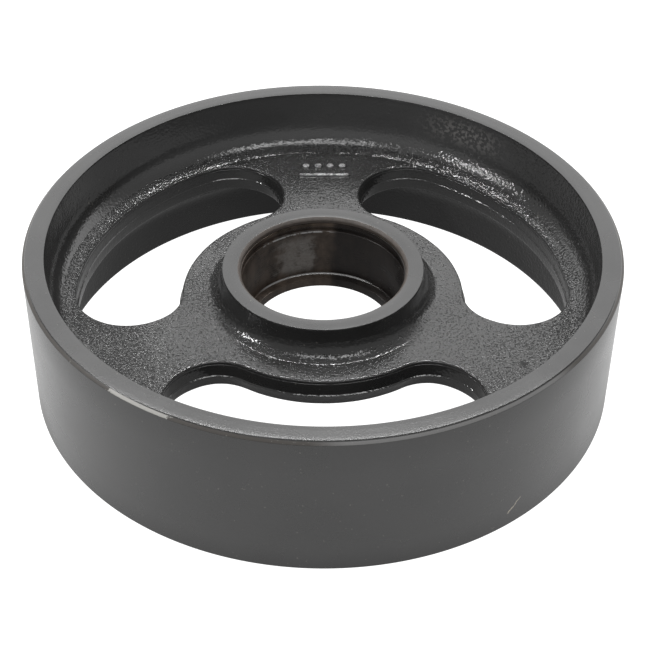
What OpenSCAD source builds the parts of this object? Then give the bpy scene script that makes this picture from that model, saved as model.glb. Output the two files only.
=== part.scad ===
// Cast track roller wheel that turns on two rows of needles round a stepped
// axle sleeve. The spin axis is Z and the origin is at mid width on that axis.
// Millimetres. The upper side is the side with the bore's mouth.

/* [Wheel] */
// Diameter of the rolling surface
tread_d = 360; // [356:1:400]
// Width of the rim from face to face
rim_w = 97; // [92:1:110]
// Thickness of the rim wall at its faces
rim_wall = 13; // [10:0.5:16]
// Chamfer on both outer edges of the rim
rim_chamfer = 2; // [0.5:0.1:3]
// Thickness of the web plate
web_t = 18; // [14:1:22]
// Round between the rim wall and the web
rim_fillet = 12; // [8:0.5:13]
// Draft of the rim's inner wall, in degrees
rim_draft = 1; // [0.5:0.25:1.5]

/* [Hub] */
// Diameter of the hub's end faces
hub_d = 123; // [121:0.5:128]
// How far the hub's end faces lie below the rim's faces
hub_recess = 21.4; // [19:0.2:21.4]
// Draft of the hub's side, in degrees
hub_draft = 7; // [4:0.5:9]
// Round between the hub's side and the web
hub_fillet = 8; // [5:0.5:9]
// Diameter of the hub's lip over the sleeve
lip_d = 101; // [100.6:0.1:101.4]
// Chamfer at the mouth of the lip
mouth_chamfer = 1.7; // [1:0.1:1.7]

/* [Windows] */
// Radius of the windows' inner edge
window_in_r = 86; // [84:1:90]
// Radius of the windows' outer edge
window_out_r = 152; // [148:0.5:153]
// Width of each spoke
spoke_w = 51; // [46:1:56]
// Corner radius at the windows' outer edge
window_out_round = 33.4; // [24:0.2:34]
// Corner radius at the windows' inner edge
window_in_round = 27; // [18:1:28]

/* [Axle sleeve] */
// Diameter of the seat bore
seat_d = 100; // [99.9:0.05:100.1]
// Diameter of the bore through the shoulder
shoulder_d = 88.5; // [86:0.5:92]
// Length of the seat from the shoulder to the ring groove
seat_len = 34.1; // [33.4:0.1:34.4]
// Thickness of the shoulder
shoulder_t = 5.8; // [5:0.1:6]
// Diameter of the ring groove in the seat
groove_d = 103.5; // [103:0.1:103.6]
// Width of the ring groove
groove_w = 3.4; // [3.15:0.05:3.4]

/* [Needle bearing] */
// Outer diameter of the sleeve, which the needles run on
sleeve_od = 106; // [105.8:0.1:106]
// Diameter of the hub bore, which the needle cups are pressed into
hub_bore_d = 113; // [112.9:0.1:113]
// Wall thickness of a drawn needle cup
cup_wall = 1.5; // [1.4:0.05:1.5]
// Length of one needle cup
cup_len = 17.4; // [17:0.1:17.4]
// Number of needles in one row
needle_count = 60; // [40:2:64]
// Length of one needle
needle_len = 11.8; // [10:0.2:11.8]

/* [Hidden] */
$fn = 96;

iron = [0.21, 0.21, 0.215];
ground_steel = [0.46, 0.42, 0.38];
cup_steel = [0.62, 0.62, 0.64];
cage_steel = [0.55, 0.56, 0.58];
needle_steel = [0.82, 0.83, 0.85];
seal_steel = [0.35, 0.36, 0.38];
nitrile = [0.08, 0.08, 0.08];
spring_steel = [0.7, 0.7, 0.72];
bronze = [0.66, 0.5, 0.26];
ring_steel = [0.18, 0.18, 0.2];

// Overlap that keeps joined outlines from only touching
lap = 1;

// Wheel and hub
tread_r = tread_d / 2;
rim_r = tread_r - rim_wall;
rim_z = rim_w / 2;
web_z = web_t / 2;
hub_r = hub_d / 2;
hub_z = rim_z - hub_recess;
hub_edge = 0.8;
hub_bore_r = hub_bore_d / 2;
lip_r = lip_d / 2;
lip_z = hub_z - mouth_chamfer - 2;
rim_root_r = rim_r - (rim_z - web_z) * tan(rim_draft);
rim_mid_r = rim_r - rim_z * tan(rim_draft);
hub_root_r = hub_r + (hub_z - web_z) * tan(hub_draft);

// Windows and spokes
spoke_count = 3;
spoke_step = 360 / spoke_count;
spoke_half = spoke_w / 2;

// Raised casting marks on the first spoke
mark_h = 0.9;
mark_count = 4;
mark_pitch = 8.2;
mark_d = 4.6;
mark_r = 139.5;
bar_len = 31;
bar_w = 2.8;
bar_r = 129;

// Axle sleeve
gap = 0.3;
seat_r = seat_d / 2;
sleeve_r = sleeve_od / 2;
sleeve_top = lip_z - gap;
sleeve_step = sleeve_top - 1;
groove_top = hub_z - 6.3;
groove_bottom = groove_top - groove_w;
shoulder_z = groove_bottom - seat_len;
sleeve_bottom = shoulder_z - shoulder_t;
collar_r = seat_r + 1.6;
edge = 0.5;

// Needle bearing, written for the upper row
run_gap = 0.02;
spacer_t = 2;
cup_r = hub_bore_r - cup_wall;
cup_z = spacer_t / 2;
cup_lip_t = 1.2;
needle_pitch_r = (cup_r + sleeve_r) / 2;
needle_r = (cup_r - sleeve_r) / 2 - run_gap;
row_z = cup_z + cup_len / 2;
cage_gap = 0.35;
cage_in_r = sleeve_r + cage_gap;
cage_out_r = cup_r - cage_gap;
cage_len = cup_len - 2 * (cup_lip_t + gap);
pocket_w = 2 * needle_r + 0.16;
pocket_len = needle_len + 0.2;
needle_step = 360 / needle_count;

// Seals, written for the upper side
seal_z = cup_z + cup_len + 0.2;
seal_h = 3.6;
seal_wall = 0.8;
seal_flange_r = sleeve_r + 1.3;
lip_tip_z = seal_z + 1;
lip_tip_r = sleeve_r + 0.05;
spring_r = sleeve_r + 1.45;
spring_z = lip_tip_z + 0.25;
spring_wire_r = 0.38;

// Thrust washers and retaining ring
washer_t = 1;
washer_r = hub_bore_r - 0.1;
lower_washer_in_r = 48.5;
lower_washer_top = sleeve_bottom - gap;
oil_groove_count = 6;
oil_groove_w = 2.5;
oil_groove_h = 0.3;
ring_t = 2;
ring_top = lower_washer_top - washer_t - 0.1;
ring_groove_r = hub_bore_r + 1.5;
ring_groove_play = 0.08;
ring_r = ring_groove_r - 0.1;
ring_in_r = 54;
ring_gap_angle = 9;
lug_angle = 6;
lug_in_r = 51.2;
lug_hole_r = 1.1;

// ---- Outlines ----

// Unit vector at an angle
function dir(a) = [cos(a), sin(a)];

// Fills the open corner at p, whose edges leave at angles a1 < a2, to a round
module corner_fill(p, a1, a2, r) {
    half = (a2 - a1) / 2;
    t = r / tan(half);
    c = p + r / sin(half) * dir(a1 + half);
    u1 = dir(a1);
    u2 = dir(a2);
    difference() {
        polygon([p - lap * u1 - lap * u2, p + t * u1 - lap * u2, p + t * u1,
                 c, p + t * u2, p + t * u2 - lap * u1]);
        translate(c) circle(r = r);
    }
}

// Section of the rim with its chamfers and drafted inner wall
module rim_section() {
    polygon([[rim_mid_r, 0],
             [rim_r, -rim_z],
             [tread_r - rim_chamfer, -rim_z],
             [tread_r, -rim_z + rim_chamfer],
             [tread_r, rim_z - rim_chamfer],
             [tread_r - rim_chamfer, rim_z],
             [rim_r, rim_z]]);
}

// Section of the hub as cast, before it is bored
module hub_section() {
    edge_r = hub_r + hub_edge * tan(hub_draft);
    polygon([[lip_r - lap, -hub_z],
             [hub_r - hub_edge, -hub_z],
             [edge_r, -hub_z + hub_edge],
             [hub_root_r, -web_z],
             [hub_root_r, web_z],
             [edge_r, hub_z - hub_edge],
             [hub_r - hub_edge, hub_z],
             [lip_r - lap, hub_z]]);
}

// The two rounds above the web
module upper_fillets() {
    corner_fill([hub_root_r, web_z], 0, 90 + hub_draft, hub_fillet);
    corner_fill([rim_root_r, web_z], 90 - rim_draft, 180, rim_fillet);
}

// Space that is machined out of the hub
module hub_bore_section() {
    polygon([[0, -rim_z],
             [hub_bore_r + edge, -rim_z],
             [hub_bore_r + edge, -hub_z],
             [hub_bore_r, -hub_z + edge],
             [hub_bore_r, ring_top - ring_t - ring_groove_play],
             [ring_groove_r, ring_top - ring_t - ring_groove_play],
             [ring_groove_r, ring_top + ring_groove_play],
             [hub_bore_r, ring_top + ring_groove_play],
             [hub_bore_r, lip_z],
             [lip_r, lip_z],
             [lip_r, hub_z - mouth_chamfer],
             [lip_r + mouth_chamfer, hub_z],
             [lip_r + mouth_chamfer, rim_z],
             [0, rim_z]]);
}

// Section of the whole casting
module casting_section() {
    difference() {
        union() {
            rim_section();
            translate([hub_r - lap, -web_z]) square([rim_mid_r - hub_r + 2 * lap, web_t]);
            hub_section();
            upper_fillets();
            mirror([0, 1]) upper_fillets();
        }
        hub_bore_section();
    }
}

// Rounds one window corner beside a spoke that lies along +X; c is the round's
// centre, and far is how far from the axis the removed corner may reach
module spoke_corner(c, r, far) {
    difference() {
        polygon([c, [c[0], spoke_half], [far, spoke_half], far / norm(c) * c]);
        translate(c) circle(r = r);
    }
}

// One spoke along +X with the rounds at its root and at its tip, on one side
module half_spoke() {
    out_y = spoke_half + window_out_round;
    out_d = window_out_r - window_out_round;
    in_y = spoke_half + window_in_round;
    in_d = window_in_r + window_in_round;
    square([tread_r, spoke_half]);
    spoke_corner([sqrt(out_d * out_d - out_y * out_y), out_y],
                 window_out_round, window_out_r + 6);
    spoke_corner([sqrt(in_d * in_d - in_y * in_y), in_y],
                 window_in_round, window_in_r - 14);
}

// Outline of the three windows
module windows_outline() {
    difference() {
        circle(r = window_out_r);
        circle(r = window_in_r);
        for (i = [0 : spoke_count - 1]) rotate(90 + i * spoke_step) {
            half_spoke();
            mirror([0, 1]) half_spoke();
        }
    }
}

// Raised round studs over a bar, on the first spoke
module cast_marks() {
    base = web_z - lap;
    for (i = [0 : mark_count - 1])
        translate([(i - (mark_count - 1) / 2) * mark_pitch, mark_r, base])
            cylinder(d = mark_d, h = lap + mark_h);
    translate([-bar_len / 2, bar_r - bar_w / 2, base])
        cube([bar_len, bar_w, lap + mark_h]);
    for (side = [-1, 1]) translate([side * bar_len / 2, bar_r, base])
        cylinder(d = bar_w, h = lap + mark_h);
}

// ---- Sub-parts ----

module wheel_casting() {
    color(iron) {
        difference() {
            rotate_extrude() casting_section();
            translate([0, 0, -web_z - lap])
                linear_extrude(web_t + 2 * lap) windows_outline();
        }
        cast_marks();
    }
}

module axle_sleeve() {
    shoulder_r = shoulder_d / 2;
    groove_r = groove_d / 2;
    color(ground_steel) rotate_extrude() polygon([
        [shoulder_r, sleeve_bottom],
        [sleeve_r - edge, sleeve_bottom],
        [sleeve_r, sleeve_bottom + edge],
        [sleeve_r, sleeve_step],
        [collar_r, sleeve_step],
        [collar_r, sleeve_top],
        [seat_r + gap, sleeve_top],
        [seat_r, sleeve_top - gap],
        [seat_r, groove_top],
        [groove_r, groove_top],
        [groove_r, groove_bottom],
        [seat_r, groove_bottom],
        [seat_r, shoulder_z],
        [shoulder_r + edge, shoulder_z],
        [shoulder_r, shoulder_z - edge]]);
}

// Drawn cup with a turned-in lip at each end, above mid width
module needle_cup() {
    lip = cage_in_r + 0.15;
    color(cup_steel) rotate_extrude() translate([0, cup_z]) polygon([
        [lip, 0],
        [hub_bore_r - edge, 0],
        [hub_bore_r, edge],
        [hub_bore_r, cup_len - edge],
        [hub_bore_r - edge, cup_len],
        [lip, cup_len],
        [lip, cup_len - cup_lip_t],
        [cup_r, cup_len - cup_lip_t],
        [cup_r, cup_lip_t],
        [lip, cup_lip_t]]);
}

module cup_spacer() {
    color(seal_steel) rotate_extrude()
        translate([cup_r + gap, -cup_z]) square([cup_wall - gap, spacer_t]);
}

// Thin ring with one pocket for each needle, above mid width
module needle_cage() {
    color(cage_steel) difference() {
        rotate_extrude() translate([cage_in_r, row_z - cage_len / 2])
            square([cage_out_r - cage_in_r, cage_len]);
        for (i = [0 : needle_count - 1]) rotate(i * needle_step)
            translate([cage_in_r - lap, -pocket_w / 2, row_z - pocket_len / 2])
                cube([cage_out_r - cage_in_r + 2 * lap, pocket_w, pocket_len]);
    }
}

// One row of needles, above mid width
module needle_row() {
    color(needle_steel)
        for (i = [0 : needle_count - 1]) rotate(i * needle_step)
            translate([needle_pitch_r, 0, row_z - needle_len / 2])
                cylinder(r = needle_r, h = needle_len);
}

// Pressed steel case of the seal, open towards the needles
module seal_case() {
    color(seal_steel) rotate_extrude() translate([0, seal_z]) polygon([
        [hub_bore_r - seal_wall, 0],
        [hub_bore_r - edge / 2, 0],
        [hub_bore_r, edge / 2],
        [hub_bore_r, seal_h],
        [seal_flange_r, seal_h],
        [seal_flange_r, seal_h - seal_wall],
        [hub_bore_r - seal_wall, seal_h - seal_wall]]);
}

// Rubber lip held by the case, with a seat for the garter spring
module seal_lip() {
    case_r = hub_bore_r - seal_wall;
    under_flange = seal_z + seal_h - seal_wall;
    color(nitrile) rotate_extrude() difference() {
        polygon([
            [lip_tip_r, lip_tip_z],
            [lip_tip_r + 0.5, lip_tip_z - 0.6],
            [spring_r + 0.1, lip_tip_z - 0.6],
            [spring_r + 0.1, under_flange - 0.9],
            [case_r, under_flange - 0.9],
            [case_r, under_flange],
            [lip_tip_r + 0.6, under_flange]]);
        translate([spring_r, spring_z]) circle(r = spring_wire_r + 0.04);
    }
}

module garter_spring() {
    color(spring_steel) rotate_extrude()
        translate([spring_r, spring_z]) circle(r = spring_wire_r);
}

// Flat ring with shallow grease grooves in its lower face
module thrust_washer(in_r) {
    color(bronze) difference() {
        rotate_extrude() translate([in_r, 0]) square([washer_r - in_r, washer_t]);
        for (i = [0 : oil_groove_count - 1]) rotate((i + 0.5) * 360 / oil_groove_count)
            translate([in_r - lap, -oil_groove_w / 2, -lap])
                cube([washer_r - in_r + 2 * lap, oil_groove_w, lap + oil_groove_h]);
    }
}

// Sector of a ring, from angle -half to half about the -Y direction
module ring_sector(in_r, out_r, half) {
    intersection() {
        difference() {
            circle(r = out_r);
            circle(r = in_r);
        }
        polygon([[0, 0], tread_r * dir(-90 - half), tread_r * dir(-90 + half)]);
    }
}

// Open snap ring with a lug and a plier hole at each side of its gap
module snap_ring_outline() {
    half_gap = ring_gap_angle / 2;
    hole_at = lug_in_r + 1.6;
    difference() {
        union() {
            difference() {
                circle(r = ring_r);
                circle(r = ring_in_r);
            }
            ring_sector(lug_in_r, ring_in_r + lap, half_gap + lug_angle);
        }
        ring_sector(lap, tread_r, half_gap);
        for (side = [-1, 1]) rotate(side * (half_gap + lug_angle / 2))
            translate([0, -hole_at]) circle(r = lug_hole_r);
    }
}

// Mirrors an upper part to the lower half of the bearing
module below() {
    mirror([0, 0, 1]) children();
}

module upper_needle_cup() { needle_cup(); }
module lower_needle_cup() { below() needle_cup(); }
module upper_needle_cage() { needle_cage(); }
module lower_needle_cage() { below() needle_cage(); }
module upper_needles() { needle_row(); }
module lower_needles() { below() needle_row(); }
module upper_seal_case() { seal_case(); }
module lower_seal_case() { below() seal_case(); }
module upper_seal_lip() { seal_lip(); }
module lower_seal_lip() { below() seal_lip(); }
module upper_garter_spring() { garter_spring(); }
module lower_garter_spring() { below() garter_spring(); }

// Sits against the hub's lip, over the step of the sleeve
module upper_thrust_washer() {
    translate([0, 0, lip_z - washer_t]) thrust_washer(collar_r + gap);
}

// Sits under the sleeve, on the retaining ring
module lower_thrust_washer() {
    translate([0, 0, lower_washer_top]) below() thrust_washer(lower_washer_in_r);
}

module retaining_ring() {
    color(ring_steel) translate([0, 0, ring_top - ring_t])
        linear_extrude(ring_t) snap_ring_outline();
}

wheel_casting();
axle_sleeve();
upper_needle_cup();
lower_needle_cup();
cup_spacer();
upper_needle_cage();
lower_needle_cage();
upper_needles();
lower_needles();
upper_seal_case();
lower_seal_case();
upper_seal_lip();
lower_seal_lip();
upper_garter_spring();
lower_garter_spring();
upper_thrust_washer();
lower_thrust_washer();
retaining_ring();
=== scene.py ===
"""Looks of a cast track roller wheel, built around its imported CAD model.

The spin axis is Z, the origin is at mid width on it, and one spoke points along
+Y. Sizes of meshes are in millimetres, turned to metres when a mesh is made.
Materials, lights and the camera are in metres and degrees.
"""

import math

import bmesh
import bpy
import numpy as np
from mathutils import Matrix, Vector, noise
from mathutils.geometry import delaunay_2d_cdt


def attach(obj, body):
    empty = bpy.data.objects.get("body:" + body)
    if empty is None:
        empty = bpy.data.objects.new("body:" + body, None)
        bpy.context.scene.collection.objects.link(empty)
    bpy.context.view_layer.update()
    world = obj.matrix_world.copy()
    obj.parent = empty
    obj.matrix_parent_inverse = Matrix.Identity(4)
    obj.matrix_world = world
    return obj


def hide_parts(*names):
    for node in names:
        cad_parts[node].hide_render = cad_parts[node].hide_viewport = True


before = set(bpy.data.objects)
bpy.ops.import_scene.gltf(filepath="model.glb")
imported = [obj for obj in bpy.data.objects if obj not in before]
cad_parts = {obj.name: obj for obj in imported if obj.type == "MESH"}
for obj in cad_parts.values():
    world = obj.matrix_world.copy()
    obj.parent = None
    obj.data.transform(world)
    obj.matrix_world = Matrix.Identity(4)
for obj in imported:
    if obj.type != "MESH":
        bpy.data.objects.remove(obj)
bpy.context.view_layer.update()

MM = 0.001
scene = bpy.context.scene

# ---- Sizes of the casting, in millimetres ----

TREAD_R = 180.0
RIM_Z = 48.5
RIM_R = 167.0
RIM_CHAMFER = 2.0
RIM_DRAFT = math.radians(1)
WEB_Z = 9.0
HUB_Z = 27.1
HUB_R = 61.5
HUB_DRAFT = math.radians(7)
HUB_BORE_R = 56.5
LIP_R = 50.5
LIP_Z = 23.4
MOUTH_CHAMFER = 1.7
WINDOW_IN_R = 86.8
WINDOW_OUT_R = 152.0
SPOKE_HALF = 25.5
OUT_ROUND = 33.4
IN_ROUND = 27.0
SPOKE_ANGLES = (90, 210, 330)
RING_GROOVE_R = 58.0
RING_GROOVE_Z = (-25.98, -23.82)
HUB_FACE_RING_R = 57.5  # one ring of vertices between the hub face's edges

WEB_EDGE = 1.6  # how far the windows' edge work reaches into the web
RIM_FILLET = 19.8
HUB_FILLET = 14.2
CREASE = math.radians(20)  # the fillets meet the web at this slope
CREASE_ROUND = 2.0
CREASE_REACH = CREASE_ROUND * math.tan(CREASE / 2)

RIM_STEPS = 600
HUB_STEPS = 360
SLEEVE_STEPS = 288
WINDOW_STEP = 1.5  # spacing of the points on a window's outline
UPPER_SPACING = 1.9  # spacing of the points inside the web's upper face
LOWER_SPACING = 2.6
MERGE = 0.002  # vertices closer than this become one
CASTING_SHARP = math.radians(32)  # edges over this angle are shaded sharp
SLEEVE_SHARP = math.radians(38)


# ---- Mesh helpers ----


class Builder:
    """Collects vertices with a cast mask and faces, in millimetres."""

    def __init__(self):
        self.verts = []
        self.cast = []
        self.faces = []

    def add(self, points, cast):
        start = len(self.verts)
        self.verts.extend(points)
        self.cast.extend(cast)
        return start

    def revolve(self, profile, steps, closed=False):
        """profile holds (r, z, cast) from one end to the other. Seen with r to
        the right and z up, the material lies to the right of its direction."""
        angles = np.arange(steps) * (2 * math.pi / steps)
        ca, sa = np.cos(angles), np.sin(angles)
        starts = []
        for r, z, cast in profile:
            ring = np.stack([r * ca, r * sa, np.full(steps, z)], 1)
            starts.append(self.add(ring.tolist(), [cast] * steps))
        pairs = list(zip(starts[:-1], starts[1:]))
        if closed:
            pairs.append((starts[-1], starts[0]))
        for a, b in pairs:
            for i in range(steps):
                j = (i + 1) % steps
                self.faces.append((a + i, a + j, b + j, b + i))

    def sweep(self, points, normals, section):
        """Sweeps a section round a loop. A section row is the offset along the
        normal on outer walls and on inner walls, z and cast."""
        count = len(points)
        starts = []
        radial = points / np.linalg.norm(points, axis=1)[:, None]
        inner = (1 + (radial * normals).sum(1)) / 2
        for outer_offset, inner_offset, z, cast in section:
            offset = outer_offset + (inner_offset - outer_offset) * inner
            xy = points + normals * offset[:, None]
            ring = np.column_stack([xy, np.full(count, z)])
            starts.append(self.add(ring.tolist(), [cast] * count))
        for a, b in zip(starts[:-1], starts[1:]):
            for i in range(count):
                j = (i + 1) % count
                self.faces.append((a + i, a + j, b + j, b + i))

    def object(self, name):
        mesh = bpy.data.meshes.new(name)
        verts = [(x * MM, y * MM, z * MM) for x, y, z in self.verts]
        mesh.from_pydata(verts, [], self.faces)
        layer = mesh.attributes.new("cast", "FLOAT", "POINT")
        layer.data.foreach_set("value", self.cast)
        bm = bmesh.new()
        bm.from_mesh(mesh)
        bmesh.ops.remove_doubles(bm, verts=bm.verts, dist=MERGE * MM)
        bmesh.ops.recalc_face_normals(bm, faces=bm.faces)
        bm.to_mesh(mesh)
        bm.free()
        mesh.shade_smooth()
        obj = bpy.data.objects.new(name, mesh)
        scene.collection.objects.link(obj)
        return obj


def arc(centre, radius, start, stop, count):
    """Points on an arc, both ends included; angles in radians."""
    a = np.linspace(start, stop, count + 1)
    return [
        (centre[0] + radius * math.cos(t), centre[1] + radius * math.sin(t)) for t in a
    ]


def with_mask(points, cast):
    return [(r, z, cast) for r, z in points]


# ---- Outlines of the windows ----

WINDOW_MID = math.radians(60)  # the line through a window's middle, from its spoke


def half_window():
    """Outline beside a spoke along +X, from the window's middle at 60 degrees on
    the outer arc to its middle on the inner arc, with normals into the window."""
    out_y = SPOKE_HALF + OUT_ROUND
    out_d = WINDOW_OUT_R - OUT_ROUND
    out_x = math.sqrt(out_d**2 - out_y**2)
    in_y = SPOKE_HALF + IN_ROUND
    in_d = WINDOW_IN_R + IN_ROUND
    in_x = math.sqrt(in_d**2 - in_y**2)
    out_a = math.atan2(out_y, out_x)
    in_a = math.atan2(in_y, in_x)
    down = -math.pi / 2

    def run(centre, radius, a0, a1, sign):
        count = max(2, round(abs(a1 - a0) * radius / WINDOW_STEP))
        t = np.linspace(a0, a1, count, endpoint=False)
        unit = np.stack([np.cos(t), np.sin(t)], 1)
        return np.array(centre) + radius * unit, sign * unit

    parts = [
        run((0, 0), WINDOW_OUT_R, WINDOW_MID, out_a, -1),
        run((out_x, out_y), OUT_ROUND, out_a, down, -1),
    ]
    count = max(1, round((out_x - in_x) / WINDOW_STEP))
    x = np.linspace(out_x, in_x, count, endpoint=False)
    spoke = np.stack([x, np.full(count, SPOKE_HALF)], 1)
    parts.append((spoke, np.tile([0.0, 1.0], (count, 1))))
    parts.append(run((in_x, in_y), IN_ROUND, down, in_a - math.pi, -1))
    parts.append(run((0, 0), WINDOW_IN_R, in_a, WINDOW_MID, 1))
    return np.concatenate([p[0] for p in parts]), np.concatenate([p[1] for p in parts])


def turn(vectors, degrees):
    c, s = math.cos(math.radians(degrees)), math.sin(math.radians(degrees))
    return vectors @ np.array([[c, s], [-s, c]])


def window_loop():
    """Closed outline of the window between spokes at 0 and 120 degrees."""
    p, n = half_window()

    def mirror(v):
        # Reflection in the line through the window's middle
        c, s = math.cos(2 * WINDOW_MID), math.sin(2 * WINDOW_MID)
        return v @ np.array([[c, s], [s, -c]])

    end = np.array([[math.cos(WINDOW_MID), math.sin(WINDOW_MID)]])
    back_p = mirror(p[1:])[::-1]
    back_n = mirror(n[1:])[::-1]
    points = np.concatenate([p, end * WINDOW_IN_R, back_p])
    normals = np.concatenate([n, end, back_n])
    return points, normals


WINDOW = window_loop()
WINDOWS = [(turn(WINDOW[0], a), turn(WINDOW[1], a)) for a in SPOKE_ANGLES]

# ---- Cast marks on the +Y spoke ----

MARK_X = 2.4
MARK_R = 136.7
MARK_COUNT = 4
MARK_PITCH = 8.2
MARK_HALF = 2.5
MARK_H = 1.4
BAR_R = 125.8
BAR_HALF_LEN = 15.5
BAR_HALF_W = 1.4
# Each mark as centre x and y, half length of its straight part, half width
MARKS = [
    (MARK_X + (i - (MARK_COUNT - 1) / 2) * MARK_PITCH, MARK_R, 0.0, MARK_HALF)
    for i in range(MARK_COUNT)
]
MARKS.append((MARK_X, BAR_R, BAR_HALF_LEN, BAR_HALF_W))
MARK_FOOT = 0.7
# Offset from the outline and share of the height, from the foot to the top
MARK_STEPS = ((MARK_FOOT, 0.0), (0.25, 0.3), (-0.2, 0.85), (-0.75, 1.0))
MARK_ARC_STEPS = 14
BAR_STEP = 1.3


def mark_outline(cx, cy, half_len, half_w, offset):
    r = half_w + offset
    quarter = math.pi / 2
    right = arc((cx + half_len, cy), r, -quarter, quarter, MARK_ARC_STEPS)
    left = arc((cx - half_len, cy), r, quarter, 3 * quarter, MARK_ARC_STEPS)
    if half_len == 0:
        return right[:-1] + left[:-1]
    count = round(2 * half_len / BAR_STEP)
    shares = [2 * half_len * i / count for i in range(1, count)]
    top = [(cx + half_len - share, cy + r) for share in shares]
    low = [(cx - half_len + share, cy - r) for share in shares]
    return right + top + left + low


# ---- Web faces ----

CLEARANCE = 0.55  # share of the spacing that the grid keeps from points on the loops
SIDE_CLEARANCE = 0.5  # and from the round loops' radii and the marks' feet
SLIVER = 0.02  # how far over a window's edge a face's centre may lie
BLOCKS = 60  # the distance tables are made in this many parts


def circle(r, steps):
    a = np.arange(steps) * (2 * math.pi / steps)
    return np.stack([r * np.cos(a), r * np.sin(a)], 1)


def squared_distances(points, others):
    return ((points[:, None, :] - others[None, :, :]) ** 2).sum(2)


def window_side(points, edge_points, edge_normals):
    """How far each point lies inside a window; below zero, it is on the web."""
    parts = []
    for block in np.array_split(points, BLOCKS):
        near = squared_distances(block, edge_points).argmin(1)
        parts.append(((block - edge_points[near]) * edge_normals[near]).sum(1))
    return np.concatenate(parts)


def staggered_grid(r_in, r_out, spacing):
    row = spacing * math.sqrt(3) / 2
    count = int(r_out / row) + 1
    grid = []
    for j in range(-count, count + 1):
        shift = spacing / 2 if j % 2 else 0.0
        for i in range(-count - 2, count + 3):
            grid.append((i * spacing + shift, j * row))
    grid = np.array(grid)
    radius = np.hypot(grid[:, 0], grid[:, 1])
    gap = SIDE_CLEARANCE * spacing
    return grid[(radius > r_in + gap) & (radius < r_out - gap)]


def web_face(marks, spacing):
    """One flat face of the web between the hub's and the rim's fillets: its
    points, their heights over the face and its triangles."""
    r_in, r_out = hub_crease_r(), rim_crease_r()
    edge_points = np.concatenate([p - n * WEB_EDGE for p, n in WINDOWS])
    edge_normals = np.concatenate([n for _, n in WINDOWS])
    loops = [circle(r_out, RIM_STEPS), circle(r_in, HUB_STEPS)]
    loops.extend(p - n * WEB_EDGE for p, n in WINDOWS)
    heights = {}
    for mark in marks:
        for offset, share in MARK_STEPS:
            heights[len(loops)] = share * MARK_H
            loops.append(np.array(mark_outline(*mark, offset)))
    verts, edges, z = [], [], []
    for k, loop in enumerate(loops):
        start, count = len(verts), len(loop)
        verts.extend(Vector(p) for p in loop.tolist())
        z.extend([heights.get(k, 0.0)] * count)
        edges.extend((start + i, start + (i + 1) % count) for i in range(count))
    fixed = np.array([tuple(v) for v in verts])

    grid = staggered_grid(r_in, r_out, spacing)
    blocks = np.array_split(grid, BLOCKS)
    gaps = [squared_distances(block, fixed).min(1) for block in blocks]
    clear = np.concatenate(gaps) > (CLEARANCE * spacing) ** 2
    grid = grid[clear & (window_side(grid, edge_points, edge_normals) < 0)]
    inside = np.zeros(len(grid), bool)
    for cx, cy, half_len, half_w in marks:
        dx = np.maximum(np.abs(grid[:, 0] - cx) - half_len, 0)
        reach = half_w + MARK_FOOT + SIDE_CLEARANCE * spacing
        inside |= np.hypot(dx, grid[:, 1] - cy) < reach
    grid = grid[~inside]
    verts.extend(Vector(p) for p in grid.tolist())
    z.extend([0.0] * len(grid))

    made, _, faces, origins, _, _ = delaunay_2d_cdt(verts, edges, [], 0, 1e-6)
    xy = np.array([tuple(v) for v in made])
    height = np.array([z[o[0]] if o else 0.0 for o in origins])
    tri = np.array([f for f in faces if len(f) == 3])
    centre = xy[tri].mean(1)
    radius = np.hypot(centre[:, 0], centre[:, 1])
    good = (radius > r_in * math.cos(math.pi / HUB_STEPS)) & (radius < r_out)
    side = window_side(centre, edge_points, edge_normals)
    return xy, height, tri[good & (side < SLIVER)]


def rim_crease_r():
    """Radius where the rim's fillet leaves the web."""
    return rim_fillet_centre()[0] + RIM_FILLET * math.sin(CREASE) - CREASE_REACH


def rim_fillet_centre():
    cz = WEB_Z + RIM_FILLET * math.cos(CREASE)
    wall_z = cz - RIM_FILLET * math.sin(RIM_DRAFT)
    wall_r = RIM_R - (RIM_Z - wall_z) * math.tan(RIM_DRAFT)
    return wall_r - RIM_FILLET * math.cos(RIM_DRAFT), cz


def hub_fillet_centre():
    cz = WEB_Z + HUB_FILLET * math.cos(CREASE)
    wall_z = cz - HUB_FILLET * math.sin(HUB_DRAFT)
    wall_r = HUB_R + (HUB_Z - wall_z) * math.tan(HUB_DRAFT)
    return wall_r + HUB_FILLET * math.cos(HUB_DRAFT), cz


def hub_crease_r():
    """Radius where the hub's fillet leaves the web."""
    return hub_fillet_centre()[0] - HUB_FILLET * math.sin(CREASE) + CREASE_REACH


def crease_rows(start_r, outwards):
    """The small round where a fillet leaves the web, without its last point."""
    return [
        (
            start_r + outwards * CREASE_ROUND * math.sin(t),
            WEB_Z + CREASE_ROUND * (1 - math.cos(t)),
            1.0,
        )
        for t in CREASE * np.array([0.0, 0.25, 0.5, 0.75])
    ]


def flip(profile):
    """The same profile on the lower side, in the direction that keeps its side."""
    return [(r, -z, cast) for r, z, cast in reversed(profile)]


FILLET_STEPS = 11
RIM_CREASE_END = 0.012  # radians between the crease's round and the arc's first point
HUB_CREASE_END = 0.015


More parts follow.
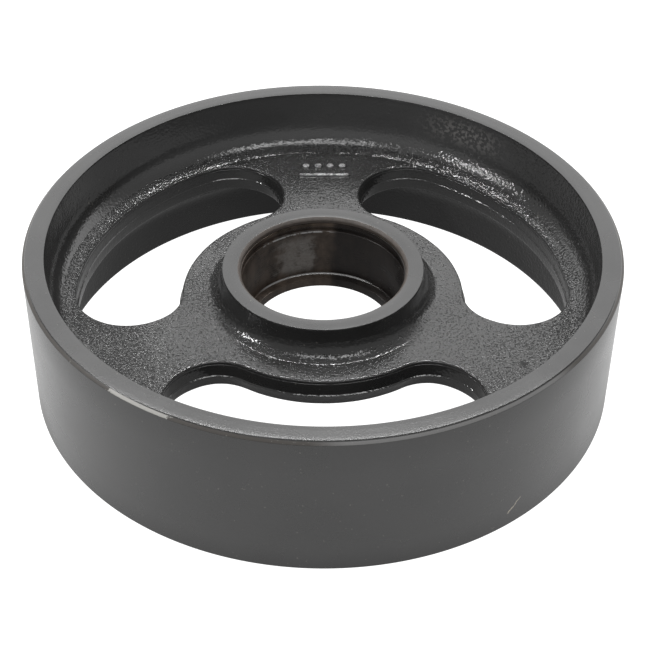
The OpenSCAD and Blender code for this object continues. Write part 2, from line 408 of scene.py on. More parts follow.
def rim_profile():
    """From the web's upper crease over the rim to the lower crease."""
    centre = rim_fillet_centre()
    upper = crease_rows(rim_crease_r(), 1)
    start = -math.pi / 2 + CREASE + RIM_CREASE_END
    upper += with_mask(arc(centre, RIM_FILLET, start, -RIM_DRAFT, FILLET_STEPS), 1.0)
    wall_r, wall_z = upper[-1][:2]
    inner = 0.1  # round at the rim's inner edge
    for share in (0.2, 0.4, 0.6, 0.8, 0.95):
        z = wall_z + (RIM_Z - inner - wall_z) * share
        upper.append((wall_r + (z - wall_z) * math.tan(RIM_DRAFT), z, 1.0))
    inner_edge = arc((RIM_R + inner, RIM_Z - inner), inner, math.pi, math.pi / 2, 3)
    upper += with_mask(inner_edge, 0.0)
    outer = TREAD_R - RIM_CHAMFER
    soft = 0.22  # round at both ends of the chamfer
    for share in (0.33, 0.66):
        upper.append((RIM_R + inner + (outer - RIM_R - inner) * share, RIM_Z, 0.0))
    slope = math.sqrt(0.5)
    upper += [
        (outer - soft, RIM_Z, 0.0),
        (outer + soft * (1 - slope) * 0.2, RIM_Z - soft * 0.18, 0.0),
        (outer + soft * slope, RIM_Z - soft * slope, 0.0),
        (TREAD_R - soft * slope, RIM_Z - RIM_CHAMFER + soft * slope, 0.0),
        (TREAD_R - soft * 0.18, RIM_Z - RIM_CHAMFER + soft * (1 - slope) * -0.2, 0.0),
        (TREAD_R, RIM_Z - RIM_CHAMFER - soft, 0.0),
    ]
    tread = [(TREAD_R, z, 0.0) for z in (24.0, 0.0, -24.0)]
    return upper + tread + flip(upper)


def hub_profile():
    """From the web's upper crease over the hub and down its bore to the lower crease."""
    centre = hub_fillet_centre()
    side = crease_rows(hub_crease_r(), -1)
    start = -math.pi / 2 - CREASE - HUB_CREASE_END
    stop = -math.pi + HUB_DRAFT
    side += with_mask(arc(centre, HUB_FILLET, start, stop, FILLET_STEPS), 1.0)
    wall_r, wall_z = side[-1][:2]
    edge = 0.35  # round at the hub face's outer edge
    for share in (0.3, 0.6, 0.88):
        z = wall_z + (HUB_Z - edge - wall_z) * share
        side.append((wall_r - (z - wall_z) * math.tan(HUB_DRAFT), z, 1.0))
    outer_edge = arc((HUB_R - edge, HUB_Z - edge), edge, HUB_DRAFT, math.pi / 2, 5)
    side += with_mask(outer_edge, 0.0)
    soft = 0.2  # round at both ends of the mouth's chamfer
    mouth = [
        (HUB_FACE_RING_R, HUB_Z, 0.0),
        (LIP_R + MOUTH_CHAMFER + soft, HUB_Z, 0.0),
        (LIP_R + MOUTH_CHAMFER - soft * 0.7, HUB_Z - soft * 0.7, 0.0),
        (LIP_R + soft * 0.5, HUB_Z - MOUTH_CHAMFER + soft * 0.5, 0.0),
        (LIP_R, HUB_Z - MOUTH_CHAMFER - soft, 0.0),
        (LIP_R, LIP_Z + 0.2, 0.0),
        (LIP_R + 0.2, LIP_Z, 0.0),
        (HUB_BORE_R, LIP_Z, 0.0),
        (HUB_BORE_R, 0.0, 0.0),
        (HUB_BORE_R, RING_GROOVE_Z[1], 0.0),
        (RING_GROOVE_R, RING_GROOVE_Z[1], 0.0),
        (RING_GROOVE_R, RING_GROOVE_Z[0], 0.0),
        (HUB_BORE_R, RING_GROOVE_Z[0], 0.0),
        (HUB_BORE_R, -HUB_Z + 0.5, 0.0),
        (HUB_BORE_R + 0.5, -HUB_Z, 0.0),
    ]
    return side + mouth + flip(side)


EDGE_ROUND = 1.4  # the rounded upper edge of a window's wall
STEP_TOP = 1.9  # depth of the edge's foot under the web's face
STEP_DEPTH = 2.05
STEP_OUT = 0.62  # the step's rounded edge stands this far off the wall


def window_section():
    """Wall of a window from the web's upper face to its lower face: a rounded
    edge over a small step, draft to the parting line, and a rounded foot."""
    rows = []
    for t in np.radians([0, 25, 50, 75]):
        offset = -WEB_EDGE + EDGE_ROUND * math.sin(t)
        rows.append((offset, offset, WEB_Z - EDGE_ROUND + EDGE_ROUND * math.cos(t)))
    rows.append((-WEB_EDGE + EDGE_ROUND, -WEB_EDGE + EDGE_ROUND, WEB_Z - STEP_TOP))
    for t in np.radians([0, 30, 60, 90]):
        offset = -STEP_OUT + STEP_OUT * math.sin(t)
        z = WEB_Z - STEP_DEPTH - STEP_OUT + STEP_OUT * math.cos(t)
        rows.append((offset, offset, z))
    # The drafted wall and the ridge of the parting line
    rows += [
        (0.06, 0.5, 4.4),
        (0.12, 1.0, 1.6),
        (0.2, 1.3, 0.0),
        (0.65, 1.95, -0.45),
        (0.65, 1.95, -0.85),
        (0.15, 1.2, -1.3),
        (0.0, 0.3, -4.0),
    ]
    for t in np.radians([90, 60, 30, 0]):
        reach = WEB_EDGE * math.sin(t)
        z = -WEB_Z + WEB_EDGE - WEB_EDGE * math.cos(t)
        rows.append((-WEB_EDGE + reach, -WEB_EDGE + 0.5 * reach, z))
    return [row + (1.0,) for row in rows]


def wheel_mesh():
    builder = Builder()
    for sign, marks, spacing in ((1, MARKS, UPPER_SPACING), (-1, (), LOWER_SPACING)):
        xy, height, tri = web_face(marks, spacing)
        points = np.column_stack([xy, sign * (WEB_Z + height)])
        start = builder.add(points.tolist(), [1.0] * len(xy))
        for a, b, c in (tri + start).tolist():
            builder.faces.append((a, b, c) if sign > 0 else (a, c, b))
    builder.revolve(rim_profile(), RIM_STEPS)
    builder.revolve(hub_profile(), HUB_STEPS)
    for points, normals in WINDOWS:
        builder.sweep(points, normals, window_section())
    return builder.object("track_wheel_casting")


# Unevenness of the cast skin as (size, height), and the step between noise fields
SKIN = ((24.0, 0.14), (9.0, 0.07), (4.0, 0.035))
FIELD_STEP = 7.3


def roughen(obj, layers):
    """Moves the cast skin along its normals by layered noise."""
    mesh = obj.data
    count = len(mesh.vertices)
    co = np.empty(count * 3)
    mesh.vertices.foreach_get("co", co)
    co = co.reshape(-1, 3)
    normal = np.empty(count * 3)
    mesh.vertex_normals.foreach_get("vector", normal)
    normal = normal.reshape(-1, 3)
    mask = np.empty(count)
    mesh.attributes["cast"].data.foreach_get("value", mask)
    for i in np.nonzero(mask > 0)[0]:
        p = Vector(co[i])
        h = sum(
            height * noise.noise(p / (size * MM) + Vector((k * FIELD_STEP, 0, 0)))
            for k, (size, height) in enumerate(layers)
        )
        co[i] += normal[i] * (mask[i] * h * MM)
    mesh.vertices.foreach_set("co", co.reshape(-1))
    mesh.update()


wheel = wheel_mesh()
roughen(wheel, SKIN)
wheel.data.set_sharp_from_angle(angle=CASTING_SHARP)

# ---- Axle sleeve ----

SEAT_R = 50.0
SHOULDER_R = 44.25
SLEEVE_R = 53.0
SLEEVE_BOTTOM = -22.5
SHOULDER_Z = -16.7
GROOVE_Z = (17.4, 20.8)
GROOVE_R = 51.75
SLEEVE_TOP = 23.1
COLLAR_R = 51.6
COLLAR_Z = 22.1
CORNER = 1.2  # round between shoulder and seat


def sleeve_mesh():
    builder = Builder()
    profile = [
        (SHOULDER_R + 0.7, SLEEVE_BOTTOM, 0),
        (SHOULDER_R + 0.1, SLEEVE_BOTTOM + 0.2, 0),
        (SHOULDER_R, SLEEVE_BOTTOM + 0.9, 0),
        (SHOULDER_R, SHOULDER_Z - 0.7, 0),
        (SHOULDER_R + 0.12, SHOULDER_Z - 0.2, 0),
        (SHOULDER_R + 0.6, SHOULDER_Z, 0),
        (SEAT_R - CORNER - 0.1, SHOULDER_Z, 0),
    ]
    corner = arc((SEAT_R - CORNER, SHOULDER_Z + CORNER), CORNER, -math.pi / 2, 0, 5)
    profile += with_mask(corner, 0)[1:]
    profile += [
        (SEAT_R, -8.0, 0),
        (SEAT_R, 4.0, 0),
        (SEAT_R, GROOVE_Z[0] - 0.25, 0),
        (SEAT_R + 0.2, GROOVE_Z[0], 0),
        (GROOVE_R, GROOVE_Z[0], 0),
        (GROOVE_R, GROOVE_Z[1], 0),
        (SEAT_R + 0.2, GROOVE_Z[1], 0),
        (SEAT_R, GROOVE_Z[1] + 0.2, 0),
        (SEAT_R, SLEEVE_TOP - 0.5, 0),
        (SEAT_R + 0.15, SLEEVE_TOP - 0.12, 0),
        (SEAT_R + 0.5, SLEEVE_TOP, 0),
        (COLLAR_R, SLEEVE_TOP, 0),
        (COLLAR_R, COLLAR_Z, 0),
        (SLEEVE_R - 0.4, COLLAR_Z, 0),
        (SLEEVE_R, COLLAR_Z - 0.4, 0),
        (SLEEVE_R, SLEEVE_BOTTOM + 0.5, 0),
        (SLEEVE_R - 0.5, SLEEVE_BOTTOM, 0),
    ]
    builder.revolve(list(reversed(profile)), SLEEVE_STEPS, closed=True)
    obj = builder.object("axle_sleeve_body")
    obj.data.set_sharp_from_angle(angle=SLEEVE_SHARP)
    return obj


sleeve = sleeve_mesh()

# ---- Materials ----


class Graph:
    """Short calls for building one node material."""

    def __init__(self, name):
        self.material = bpy.data.materials.new(name)
        self.material.use_nodes = True
        self.tree = self.material.node_tree
        self.tree.nodes.clear()
        self.out = self.tree.nodes.new("ShaderNodeOutputMaterial")
        self.object = self.tree.nodes.new("ShaderNodeTexCoord").outputs["Object"]
        split = self.tree.nodes.new("ShaderNodeSeparateXYZ")
        self.tree.links.new(self.object, split.inputs[0])
        self.x, self.y, self.z = split.outputs

    def put(self, socket, value):
        if isinstance(value, bpy.types.NodeSocket):
            self.tree.links.new(value, socket)
        else:
            socket.default_value = value

    def math(self, op, *values):
        node = self.tree.nodes.new("ShaderNodeMath")
        node.operation = op
        for socket, value in zip(node.inputs, values):
            self.put(socket, value)
        return node.outputs[0]

    def fold(self, op, first, *others):
        for other in others:
            first = self.math(op, first, other)
        return first

    def add(self, *values):
        return self.fold("ADD", *values)

    def mul(self, *values):
        return self.fold("MULTIPLY", *values)

    def most(self, *values):
        return self.fold("MAXIMUM", *values)

    def sub(self, a, b):
        return self.math("SUBTRACT", a, b)

    def noise(self, size, detail=2.0, rough=0.5, vector=None, distort=0.0):
        """Noise whose features are about size metres across, from 0 to 1."""
        node = self.tree.nodes.new("ShaderNodeTexNoise")
        node.inputs["Scale"].default_value = 1.0 / size
        node.inputs["Detail"].default_value = detail
        node.inputs["Roughness"].default_value = rough
        node.inputs["Distortion"].default_value = distort
        self.put(node.inputs["Vector"], self.object if vector is None else vector)
        return node.outputs["Fac"]

    def vector(self, x, y, z):
        node = self.tree.nodes.new("ShaderNodeCombineXYZ")
        for socket, value in zip(node.inputs, (x, y, z)):
            self.put(socket, value)
        return node.outputs[0]

    def remap(self, value, low, high, to_low=0.0, to_high=1.0, kind="LINEAR"):
        node = self.tree.nodes.new("ShaderNodeMapRange")
        node.interpolation_type = kind
        for socket, v in zip(node.inputs, (value, low, high, to_low, to_high)):
            self.put(socket, v)
        return node.outputs[0]

    def ramp(self, value, low, high, to_low=0.0, to_high=1.0):
        """The same as remap, with smooth ends."""
        return self.remap(value, low, high, to_low, to_high, "SMOOTHSTEP")

    def band(self, value, low, high, soft):
        """1 between low and high, with soft edges."""
        up = self.ramp(value, low - soft, low + soft)
        down = self.ramp(value, high - soft, high + soft, 1.0, 0.0)
        return self.mul(up, down)

    def mix(self, factor, a, b):
        node = self.tree.nodes.new("ShaderNodeMix")
        node.data_type = "RGBA"
        for index, value in ((0, factor), (6, a), (7, b)):
            self.put(node.inputs[index], value)
        return node.outputs[2]

    def blend(self, factor, a, b):
        node = self.tree.nodes.new("ShaderNodeMix")
        node.data_type = "FLOAT"
        for index, value in ((0, factor), (2, a), (3, b)):
            self.put(node.inputs[index], value)
        return node.outputs[0]

    def attribute(self, name):
        node = self.tree.nodes.new("ShaderNodeAttribute")
        node.attribute_name = name
        return node.outputs["Fac"]

    def bump(self, height, distance, normal=None):
        node = self.tree.nodes.new("ShaderNodeBump")
        node.inputs["Strength"].default_value = 1.0
        node.inputs["Distance"].default_value = distance
        self.put(node.inputs["Height"], height)
        if normal is not None:
            self.put(node.inputs["Normal"], normal)
        return node.outputs[0]

    def distance(self, x, y):
        return self.math("SQRT", self.add(self.mul(x, x), self.mul(y, y)))

    def radius(self):
        return self.distance(self.x, self.y)

    def angle(self):
        """Degrees round the axis, from -180 to 180, 0 along +X."""
        return self.mul(self.math("ARCTAN2", self.y, self.x), 180 / math.pi)

    def rings(self, size, rough, r, angle, pull):
        """Noise drawn out round the axis; pull is how fast it changes by angle."""
        vector = self.vector(r, self.z, self.mul(angle, pull))
        return self.noise(size, 2.0, rough, vector=vector)

    def shader(self, **values):
        node = self.tree.nodes.new("ShaderNodeBsdfPrincipled")
        for name, value in values.items():
            self.put(node.inputs[name.replace("_", " ")], value)
        return node.outputs[0]

    def finish(self, shader):
        self.tree.links.new(shader, self.out.inputs["Surface"])
        return self.material


def grey(value, warm=0.0):
    return (value * (1 + warm), value, value * (1 - warm), 1.0)


# Colours of the wheel
PAINT = (grey(0.014, 0.01), grey(0.023, 0.01))
# Painted light on the rim's inner wall: a lighter back and a highlight patch
BACK_WALL_PAINTED_LIGHT = grey(0.048)
WALL_PAINTED_HIGHLIGHT = grey(0.12, 0.03)
# Painted shade in the pits of the cast skin
PIT_SHADE = grey(0.004)
DIRT = grey(0.006)
SPECK = (0.10, 0.095, 0.085, 1)
CHIP = (0.27, 0.265, 0.25, 1)
THIN_COAT = (0.030, 0.026, 0.022, 1)
# Lighter coat on one stretch of the chamfer: a painted reflection
CHAMFER_PAINTED_REFLECTION = grey(0.105, 0.01)
# Painted highlight on the tops of the cast marks
MARK_PAINTED_HIGHLIGHT = grey(0.24)
RUBBED_LINE = (0.42, 0.37, 0.30, 1)
SCUFF = (0.012, 0.011, 0.010, 1)
OILED_LIP = ((0.014, 0.011, 0.009, 1), (0.070, 0.055, 0.045, 1))

# Places on the wheel: (low, high) of the radius or height in metres, of the
# angle in degrees
WEB_FACE = (0.0082, 0.0125)
CHAMFER_R = (0.1783, 0.1787)
CHAMFER_Z = (0.0464, 0.0468)
TREAD = (0.1797, 0.1799)
CHIP_ANGLE = (-130.4, -117.6)
CHAMFER_REFLECTION_ANGLE = (-90.0, -43.0)
RUB_Z = (-0.0372, -0.0288)
SCUFF_ANGLE = (-45.1, -43.9)
SCUFF_Z = (-0.0328, -0.0286)
MARK_TOP_Z = (0.0099, 0.0103)
MARK_RING = (0.1232, 0.1415)
DIRT_R = (0.1777, 0.1781)
DIRT_ANGLE = (-100.0, -20.0)
HIGHLIGHT_PATCH_ANGLE = (47.0, 62.0)
HIGHLIGHT_PATCH_Z = (0.028, 0.043)
LIP_EDGE = (0.0521, 0.0524)
BLEMISH = (0.1169, -0.0712)  # x and y

# Gloss and relief of the paint
MACHINED_ROUGH = (0.24, 0.31)
CAST_ROUGH = (0.04, 0.08)
DULL_ROUGH = 0.55
PIT_ROUGH = 0.3
DIRT_ROUGH = 0.8
SPECULAR = (0.5, 0.14)  # of paint, and of pits and dirt
PAINT_IOR = 1.52
CAST_DEPTH = 0.00022
TURNED_DEPTH = 0.00004


def tread_marks(g, r, angle):
    """Factors of the rubbed line and of the scuff on the tread."""
    on_tread = g.remap(r, *TREAD)
    line_at = g.remap(g.z, -0.037, -0.029, -55.0, -52.2)
    wobble = g.remap(g.noise(0.004, 2.0, 0.5), 0.3, 0.7, -0.35, 0.35)
    off_line = g.math("ABSOLUTE", g.add(g.sub(angle, line_at), wobble))
    rub = g.mul(g.ramp(off_line, 0.12, 0.34, 1.0, 0.0), g.band(g.z, *RUB_Z, 0.0007))
    broken = g.remap(g.noise(0.0012, 2.0, 0.6), 0.35, 0.6, 0.25, 1.0)
    rub = g.mul(rub, on_tread, broken)
    scuff = g.mul(g.band(angle, *SCUFF_ANGLE, 0.35), g.band(g.z, *SCUFF_Z, 0.0009))
    scuff = g.mul(scuff, on_tread, g.ramp(g.noise(0.0018, 2.0, 0.6), 0.4, 0.6))
    return rub, scuff


def wall_painted_light(g, cast, r, angle):
    """Factors of painted light: the back of the rim's inner wall lightened as if lit, and
    a painted highlight patch on the wall.
    """
    back_light = g.mul(g.ramp(r, 0.155, 0.165), g.band(g.z, 0.014, 0.0484, 0.004))
    back_light = g.mul(back_light, g.mul(cast, g.remap(g.y, 0.09, 0.15)))
    highlight_patch = g.mul(g.band(angle, *HIGHLIGHT_PATCH_ANGLE, 7.0), g.band(g.z, *HIGHLIGHT_PATCH_Z, 0.006))
    highlight_patch = g.mul(highlight_patch, g.ramp(g.noise(0.0024, 2.0, 0.5), 0.45, 0.6))
    return back_light, g.mul(highlight_patch, g.mul(cast, g.remap(r, 0.16, 0.164)))


def paint_pits(g, cast, r):
    """Factor of the pits in the web's paint, denser at the left and by the rim."""
    left = g.ramp(g.x, -0.045, 0.03, 0.05, 0.0)
    near_rim = g.ramp(r, 0.095, 0.135, 0.0, 0.07)
    crowd = g.add(left, near_rim)
    crowd = g.add(crowd, g.remap(g.noise(0.03, 2.0, 0.5), 0.35, 0.65, -0.03, 0.03))
    off = g.distance(g.sub(g.x, BLEMISH[0]), g.sub(g.y, BLEMISH[1]))
    crowd = g.add(crowd, g.ramp(off, 0.001, 0.0045, 0.2, 0.0))
    pits = g.ramp(g.add(g.noise(0.0011, 1.5, 0.5), crowd), 0.56, 0.74)
    return g.mul(pits, g.mul(cast, g.band(g.z, *WEB_FACE, 0.0003)))


def paint_normal(g, cast, r, angle, pits):
    """A wavy skin with pits on cast faces, turned streaks on machined ones."""
    relief = g.sub(g.noise(0.0019, 2.0, 0.5), g.mul(pits, 0.8))
    wild = g.mul(g.ramp(r, 0.138, 0.15), g.ramp(g.x, -0.02, 0.07))
    relief = g.mul(relief, cast, g.remap(wild, 0.0, 1.0, 1.0, 2.0))
    streaks = g.rings(0.0006, 0.6, r, angle, 0.0008)
    mist = g.noise(0.0012, 2.0, 0.5)
    turned = g.add(g.mul(streaks, 0.6), g.mul(mist, 0.4))
    # The front of the rim's top face is coarser
    coarse = g.mul(g.remap(g.z, 0.048, 0.0483), g.remap(g.y, -0.02, -0.12, 1.0, 2.6))
    turned = g.mul(turned, g.most(coarse, 1.0), g.sub(1.0, cast))
    return g.bump(turned, TURNED_DEPTH, g.bump(relief, CAST_DEPTH))


def painted_iron():
    g = Graph("painted_iron")
    cast = g.attribute("cast")
    r, z, angle = g.radius(), g.z, g.angle()

    # Slow and fine changes of tone
    slow = g.noise(0.045, 3.0, 0.55)
    fine = g.noise(0.0011, 3.0, 0.6)
    tone = g.add(g.remap(slow, 0.3, 0.7, -0.5, 0.5), g.remap(fine, 0.3, 0.7, -0.35, 0.35))
    colour = g.mix(g.remap(tone, -0.8, 0.8), *PAINT)
    speck = g.ramp(g.noise(0.0022, 1.0, 0.5), 0.74, 0.78)
    colour = g.mix(g.mul(speck, 0.5), colour, SPECK)

    # A bare chip on the upper chamfer, broken up at both ends; the rest has a
    # thin, brownish coat, with a lighter stretch at the front right that is a painted
    # reflection
    on_chamfer = g.mul(g.ramp(r, *CHAMFER_R), g.ramp(z, *CHAMFER_Z))
    broken = g.remap(g.noise(0.0016, 3.0, 0.6), 0.3, 0.7, -0.5, 0.5)
    chip = g.ramp(g.add(g.band(angle, *CHIP_ANGLE, 1.6), broken), 0.4, 0.6)
    chip = g.mul(on_chamfer, chip)
    dull = g.mul(on_chamfer, g.sub(1.0, chip))
    chamfer_reflection = g.band(angle, *CHAMFER_REFLECTION_ANGLE, 4.0)
    colour = g.mix(dull, colour, g.mix(chamfer_reflection, THIN_COAT, CHAMFER_PAINTED_REFLECTION))

    # The cast marks' tops are lighter in colour: a painted highlight
    marks = g.mul(g.ramp(z, *MARK_TOP_Z), g.band(r, *MARK_RING, 0.0004))
    marks = g.mul(marks, cast, g.remap(g.y, 0.1, 0.11))
    marks = g.mul(marks, g.remap(g.noise(0.003, 2.0, 0.5), 0.4, 0.5, 0.25, 1.0))
    colour = g.mix(marks, colour, MARK_PAINTED_HIGHLIGHT)

    # Dirt in the line where the top face meets the chamfer
    dirt = g.mul(g.band(r, *DIRT_R, 0.0001), g.band(z, 0.0481, 0.05, 0.0001))
    dirt = g.mul(dirt, g.band(angle, *DIRT_ANGLE, 6.0))
    colour = g.mix(g.mul(dirt, 0.9), colour, DIRT)
    colour = g.mix(chip, colour, CHIP)

    # Painted light: the back of the rim's inner wall is lighter, and a patch on it is a
    # painted highlight
    back_light, highlight_patch = wall_painted_light(g, cast, r, angle)
    colour = g.mix(back_light, colour, BACK_WALL_PAINTED_LIGHT)
    colour = g.mix(highlight_patch, colour, WALL_PAINTED_HIGHLIGHT)
    rub, scuff = tread_marks(g, r, angle)
    colour = g.mix(g.mul(rub, 0.8), colour, RUBBED_LINE)
    colour = g.mix(g.mul(scuff, 0.8), colour, SCUFF)

    # The lip over the bore and its mouth are bare metal under oil, as the bore is
    bare = g.mul(g.ramp(r, *LIP_EDGE, 1.0, 0.0), g.remap(z, 0.0, 0.01))
    colour = g.mix(bare, colour, g.mix(g.noise(0.004, 3.0, 0.6), *OILED_LIP))

    pits = paint_pits(g, cast, r)
    # The pits are darkened in colour: painted shade
    colour = g.mix(g.mul(pits, 0.8), colour, PIT_SHADE)

    # The cast skin holds a thicker, glossier coat than the machined faces
    rough_machined = g.remap(slow, 0.3, 0.7, *MACHINED_ROUGH)
    rough_cast = g.remap(g.noise(0.006, 2.0, 0.5), 0.3, 0.7, *CAST_ROUGH)
    rough = g.blend(cast, rough_machined, rough_cast)
    rough = g.blend(g.most(dull, bare, chip), rough, DULL_ROUGH)
    rough = g.blend(pits, rough, PIT_ROUGH)
    rough = g.blend(dirt, rough, DIRT_ROUGH)
    return g.finish(
        g.shader(
            Base_Color=colour,
            Roughness=rough,
            Normal=paint_normal(g, cast, r, angle, pits),
            Specular_IOR_Level=g.blend(g.most(pits, dirt), *SPECULAR),
            Metallic=g.mul(chip, 0.2),
            IOR=PAINT_IOR,
        )
    )


def brushed_metal(name, dark, light, rough, turn_mm=0.4, blotch=0.012, stain=None):
    """Turned or drawn metal with rings round the axis, blotches and thin oil."""
    g = Graph(name)
    rings = g.rings(turn_mm * MM, 0.6, g.radius(), g.angle(), 0.00004)
    cloud = g.noise(blotch, 4.0, 0.6)
    factor = g.add(g.mul(rings, 0.35), g.mul(cloud, 0.65))
    colour = g.mix(g.remap(factor, 0.35, 0.65), dark, light)
    if stain is not None:
        spots = g.ramp(g.noise(blotch * 0.35, 3.0, 0.6), 0.56, 0.68)
        colour = g.mix(g.mul(spots, 0.6), colour, stain)
    roughness = g.remap(g.add(rings, cloud), 0.7, 1.3, rough - 0.06, rough + 0.08)
    normal = g.bump(rings, 0.00001)
    return g.finish(
        g.shader(Base_Color=colour, Roughness=roughness, Metallic=1.0, Normal=normal)
    )


# Colours and places of the bore, as above
OIL_FILM = ((0.026, 0.020, 0.016, 1), (0.078, 0.060, 0.048, 1))
BORE_PAINTED_SHADE = (0.011, 0.010, 0.010, 1)
BORE_PAINTED_REFLECTION = (0.165, 0.155, 0.145, 1)
# Painted highlights on the seat's foot and under its groove
EDGE_PAINTED_HIGHLIGHT = (0.30, 0.30, 0.30, 1)
REFLECTION_ANGLE = (96.0, 122.0)
REFLECTION_Z = (-0.013, 0.013)
SHADE_ANGLE = (-20.0, 82.0)
FOOT_Z = (-0.0165, -0.0156)
FOOT_ANGLE = (55.0, 140.0)
BROW_Z = (0.0163, 0.0173)
BROW_ANGLE = (84.0, 138.0)


def oiled_steel():
    """Bare bore steel under a brown film of oil, with a painted grey reflection at the
    back and painted shade on the right.
    """
    g = Graph("oiled_steel")
    r, z, angle = g.radius(), g.z, g.angle()
    rings = g.rings(0.0005, 0.6, r, angle, 0.00003)
    cloud = g.noise(0.011, 4.0, 0.6, distort=0.4)
    down = g.vector(g.mul(angle, 0.0009), g.mul(z, 0.35), 0.0)
    streak = g.noise(0.006, 3.0, 0.55, vector=down)
    film = g.remap(g.add(g.mul(cloud, 0.6), g.mul(streak, 0.4)), 0.38, 0.62)
    brown = g.mix(film, *OIL_FILM)

    # A painted reflection: a grey patch at the back of the bore
    swirl = g.add(angle, g.remap(g.noise(0.012, 3.0, 0.6), 0.3, 0.7, -9.0, 9.0))
    painted_reflection = g.mul(g.band(swirl, *REFLECTION_ANGLE, 5.0), g.band(z, *REFLECTION_Z, 0.004))
    smear = g.noise(0.0035, 3.0, 0.6, distort=1.5)
    painted_reflection = g.mul(painted_reflection, g.remap(smear, 0.3, 0.6, 0.55, 1.0))
    painted_reflection = g.mul(painted_reflection, g.ramp(g.noise(0.009, 3.0, 0.6), 0.25, 0.45))
    # Painted shade: darker colour over the right side of the bore
    wavy = g.add(angle, g.mul(g.sub(swirl, angle), 0.3))
    dark_side = g.band(wavy, *SHADE_ANGLE, 4.0)
    brown = g.mix(g.mul(dark_side, 0.85), brown, BORE_PAINTED_SHADE)
    colour = g.mix(g.mul(painted_reflection, 0.9), brown, BORE_PAINTED_REFLECTION)

    # Painted highlights as bands at the foot of the seat and under its groove
    foot = g.mul(g.band(z, *FOOT_Z, 0.0002), g.band(angle, *FOOT_ANGLE, 8.0))
    brow = g.mul(g.band(z, *BROW_Z, 0.0002), g.band(angle, *BROW_ANGLE, 6.0))
    brow = g.mul(brow, g.ramp(g.noise(0.004, 2.0, 0.5), 0.38, 0.5))
    colour = g.mix(g.most(foot, brow), colour, EDGE_PAINTED_HIGHLIGHT)
    return g.finish(
        g.shader(
            Base_Color=colour,
            Roughness=g.remap(g.add(cloud, rings), 0.7, 1.3, 0.24, 0.42),
            Metallic=0.3,
            Specular_IOR_Level=0.3,
            Normal=g.bump(g.add(rings, g.mul(cloud, 0.6)), 0.000012),
        )
    )


def rubber():
    g = Graph("nitrile")
    cloud = g.noise(0.004, 3.0, 0.6)
    return g.finish(
        g.shader(
            Base_Color=g.mix(cloud, grey(0.012), grey(0.024)),
            Roughness=g.remap(cloud, 0.3, 0.7, 0.42, 0.6),
            Normal=g.bump(g.noise(0.0004, 2.0, 0.6), 0.00002),
        )
    )


RING_BLACK = ((0.05, 0.05, 0.055, 1), (0.10, 0.10, 0.11, 1))
RING_STAIN = (0.13, 0.085, 0.05, 1)
BRONZE = ((0.42, 0.25, 0.10, 1), (0.58, 0.38, 0.17, 1))
BRONZE_STAIN = (0.20, 0.11, 0.05, 1)
MATERIALS = {
    "painted_iron": painted_iron(),
    "oiled_steel": oiled_steel(),
    "bearing_steel": brushed_metal("bearing_steel", grey(0.36), grey(0.52), 0.18),
    "cage_steel": brushed_metal("cage_steel", grey(0.24), grey(0.36), 0.3, blotch=0.006),
    "seal_steel": brushed_metal("seal_steel", grey(0.22), grey(0.34), 0.34, blotch=0.008),
    "spring_steel": brushed_metal(
        "spring_steel", grey(0.28), grey(0.42), 0.28, turn_mm=0.25
    ),
    "ring_steel": brushed_metal(
        "ring_steel", *RING_BLACK, 0.36, blotch=0.005, stain=RING_STAIN
    ),
    "nitrile": rubber(),
    "bronze": brushed_metal("bronze", *BRONZE, 0.3, blotch=0.009, stain=BRONZE_STAIN),
}


def put_material(obj, slot):
    obj.data.materials.clear()
    obj.data.materials.append(MATERIALS[slot])


put_material(wheel, "painted_iron")
put_material(sleeve, "oiled_steel")
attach(wheel, "wheel")
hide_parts("wheel_casting")
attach(sleeve, "axle_sleeve")
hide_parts("axle_sleeve")

NODE_SLOTS = {
    "needle_cup": "bearing_steel",
    "cup_spacer": "ring_steel",
    "needle_cage": "cage_steel",
    "needles": "bearing_steel",
    "seal_case": "seal_steel",
    "seal_lip": "nitrile",
    "garter_spring": "spring_steel",
    "thrust_washer": "bronze",
    "retaining_ring": "ring_steel",
}
for name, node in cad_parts.items():
    for ending, slot in NODE_SLOTS.items():
        if name.endswith(ending):
            node.data.materials.clear()
            node.data.materials.append(MATERIALS[slot])

# ---- Floor, light and camera ----

FLOOR_HALF = 6.0
FLOOR_GAP = 0.0004  # under the lower rim face
FLOOR_GLOW_AND_SHADOW = (0.3, 1.0)  # under the wheel, a painted shadow, and clear of it, as other rays see it
FLOOR_SEEN = 1.15  # as the camera sees it


def floor():
    mesh = bpy.data.meshes.new("studio_floor")
    size = FLOOR_HALF
    z = -RIM_Z * MM - FLOOR_GAP
    corners = [(-size, -size, z), (size, -size, z), (size, size, z), (-size, size, z)]
    mesh.from_pydata(corners, [], [(0, 1, 2, 3)])
    obj = bpy.data.objects.new("studio_floor", mesh)
    scene.collection.objects.link(obj)
    g = Graph("studio_floor")
    # The floor glows less under the wheel: a painted shadow
    shadowed_glow = g.ramp(g.radius(), 0.165, 0.2, *FLOOR_GLOW_AND_SHADOW)
    seen = g.tree.nodes.new("ShaderNodeLightPath").outputs["Is Camera Ray"]
    lit = g.shader(
        Base_Color=g.mix(g.noise(0.6, 2.0, 0.5), grey(0.13), grey(0.15)),
        Roughness=0.9,
        Specular_IOR_Level=0.0,
        Emission_Color=grey(1.0),
        Emission_Strength=g.blend(seen, shadowed_glow, FLOOR_SEEN),
    )
    clear = g.tree.nodes.new("ShaderNodeBsdfTransparent").outputs[0]
    back = g.tree.nodes.new("ShaderNodeNewGeometry").outputs["Backfacing"]
    switch = g.tree.nodes.new("ShaderNodeMixShader")
    for socket, value in zip(switch.inputs, (back, lit, clear)):
        g.put(socket, value)
    mesh.materials.append(g.finish(switch.outputs[0]))


floor()

WALL_TOP = 0.83  # sine of the angle up to which the back wall is bright
WALL_SOFT = 0.03
WALL_FRONT = 0.43  # share of a direction's length towards +Y where the wall begins
WALL_EDGE = 0.1
WALL_LEAN = 0.18  # the wall reaches further forward at the right
WALL_LIGHT = 2.2
DIM_LIGHT = 0.52


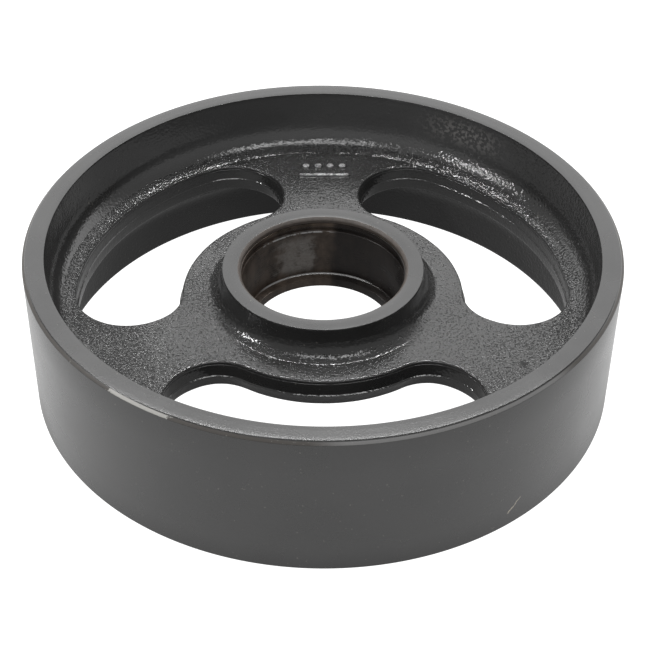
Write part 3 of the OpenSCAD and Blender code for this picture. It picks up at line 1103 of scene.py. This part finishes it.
def studio_world():
    """A bright wall at the back, and a dim front and ceiling."""
    world = bpy.data.worlds.new("studio")
    scene.world = world
    world.use_nodes = True
    tree = world.node_tree
    background = tree.nodes["Background"]
    background.inputs["Color"].default_value = (1, 1, 1, 1)
    place = tree.nodes.new("ShaderNodeTexCoord")
    split = tree.nodes.new("ShaderNodeSeparateXYZ")
    tree.links.new(place.outputs["Generated"], split.inputs[0])
    across, back, up = split.outputs

    def fade(value, low, high, start, end):
        node = tree.nodes.new("ShaderNodeMapRange")
        node.interpolation_type = "SMOOTHSTEP"
        tree.links.new(value, node.inputs[0])
        for k, number in enumerate((low, high, start, end)):
            node.inputs[k + 1].default_value = number
        return node.outputs[0]

    lean = tree.nodes.new("ShaderNodeMath")
    lean.operation = "MULTIPLY_ADD"
    lean.inputs[1].default_value = WALL_LEAN
    tree.links.new(across, lean.inputs[0])
    tree.links.new(back, lean.inputs[2])
    both = tree.nodes.new("ShaderNodeMath")
    both.operation = "MULTIPLY"
    top = fade(up, WALL_TOP - WALL_SOFT, WALL_TOP + WALL_SOFT, 1.0, 0.0)
    side = fade(lean.outputs[0], WALL_FRONT - WALL_EDGE, WALL_FRONT + WALL_EDGE, 0.0, 1.0)
    tree.links.new(top, both.inputs[0])
    tree.links.new(side, both.inputs[1])
    light = fade(both.outputs[0], 0.0, 1.0, DIM_LIGHT, WALL_LIGHT)
    tree.links.new(light, background.inputs["Strength"])


studio_world()


def softbox(name, place, size, radiance):
    """A softbox aimed at the origin, given by how bright its face looks."""
    light = bpy.data.lights.new(name, "AREA")
    light.shape = "RECTANGLE"
    light.size, light.size_y = size
    light.energy = radiance * math.pi * size[0] * size[1]
    obj = bpy.data.objects.new(name, light)
    obj.location = place
    towards = Vector((0, 0, 0)) - Vector(place)
    obj.rotation_euler = towards.to_track_quat("-Z", "Y").to_euler()
    scene.collection.objects.link(obj)


softbox("softbox_top", (0.0, 0.62, 1.4), (1.3, 0.055), 100.0)
softbox("softbox_left", (-1.15, -0.18, 0.9), (0.24, 0.12), 90.0)
softbox("softbox_front", (0.15, -0.78, 1.5), (1.5, 0.3), 7.0)

CAMERA_TURN = math.radians(-0.9)
CAMERA_AT = (0.0, -0.78491, RIM_Z * MM + 0.57195)
CAMERA_PITCH = math.radians(39.093)
CAMERA_ROLL = math.radians(0.458)
CAMERA_LENS = 89.794


def camera():
    data = bpy.data.cameras.new("camera")
    data.sensor_width = 36.0
    data.lens = CAMERA_LENS
    data.clip_end = 50.0
    obj = bpy.data.objects.new("camera", data)
    scene.collection.objects.link(obj)
    forward = Vector((0, math.cos(CAMERA_PITCH), -math.sin(CAMERA_PITCH)))
    right = Vector((1, 0, 0))
    up = right.cross(forward)
    c, s = math.cos(CAMERA_ROLL), math.sin(CAMERA_ROLL)
    new_right = c * right + s * up
    new_up = -s * right + c * up
    basis = Matrix((new_right, new_up, -forward)).transposed()
    spin = Matrix.Rotation(CAMERA_TURN, 4, "Z")
    obj.matrix_world = spin @ Matrix.Translation(CAMERA_AT) @ basis.to_4x4()
    scene.camera = obj


camera()
scene.view_settings.view_transform = "Standard"
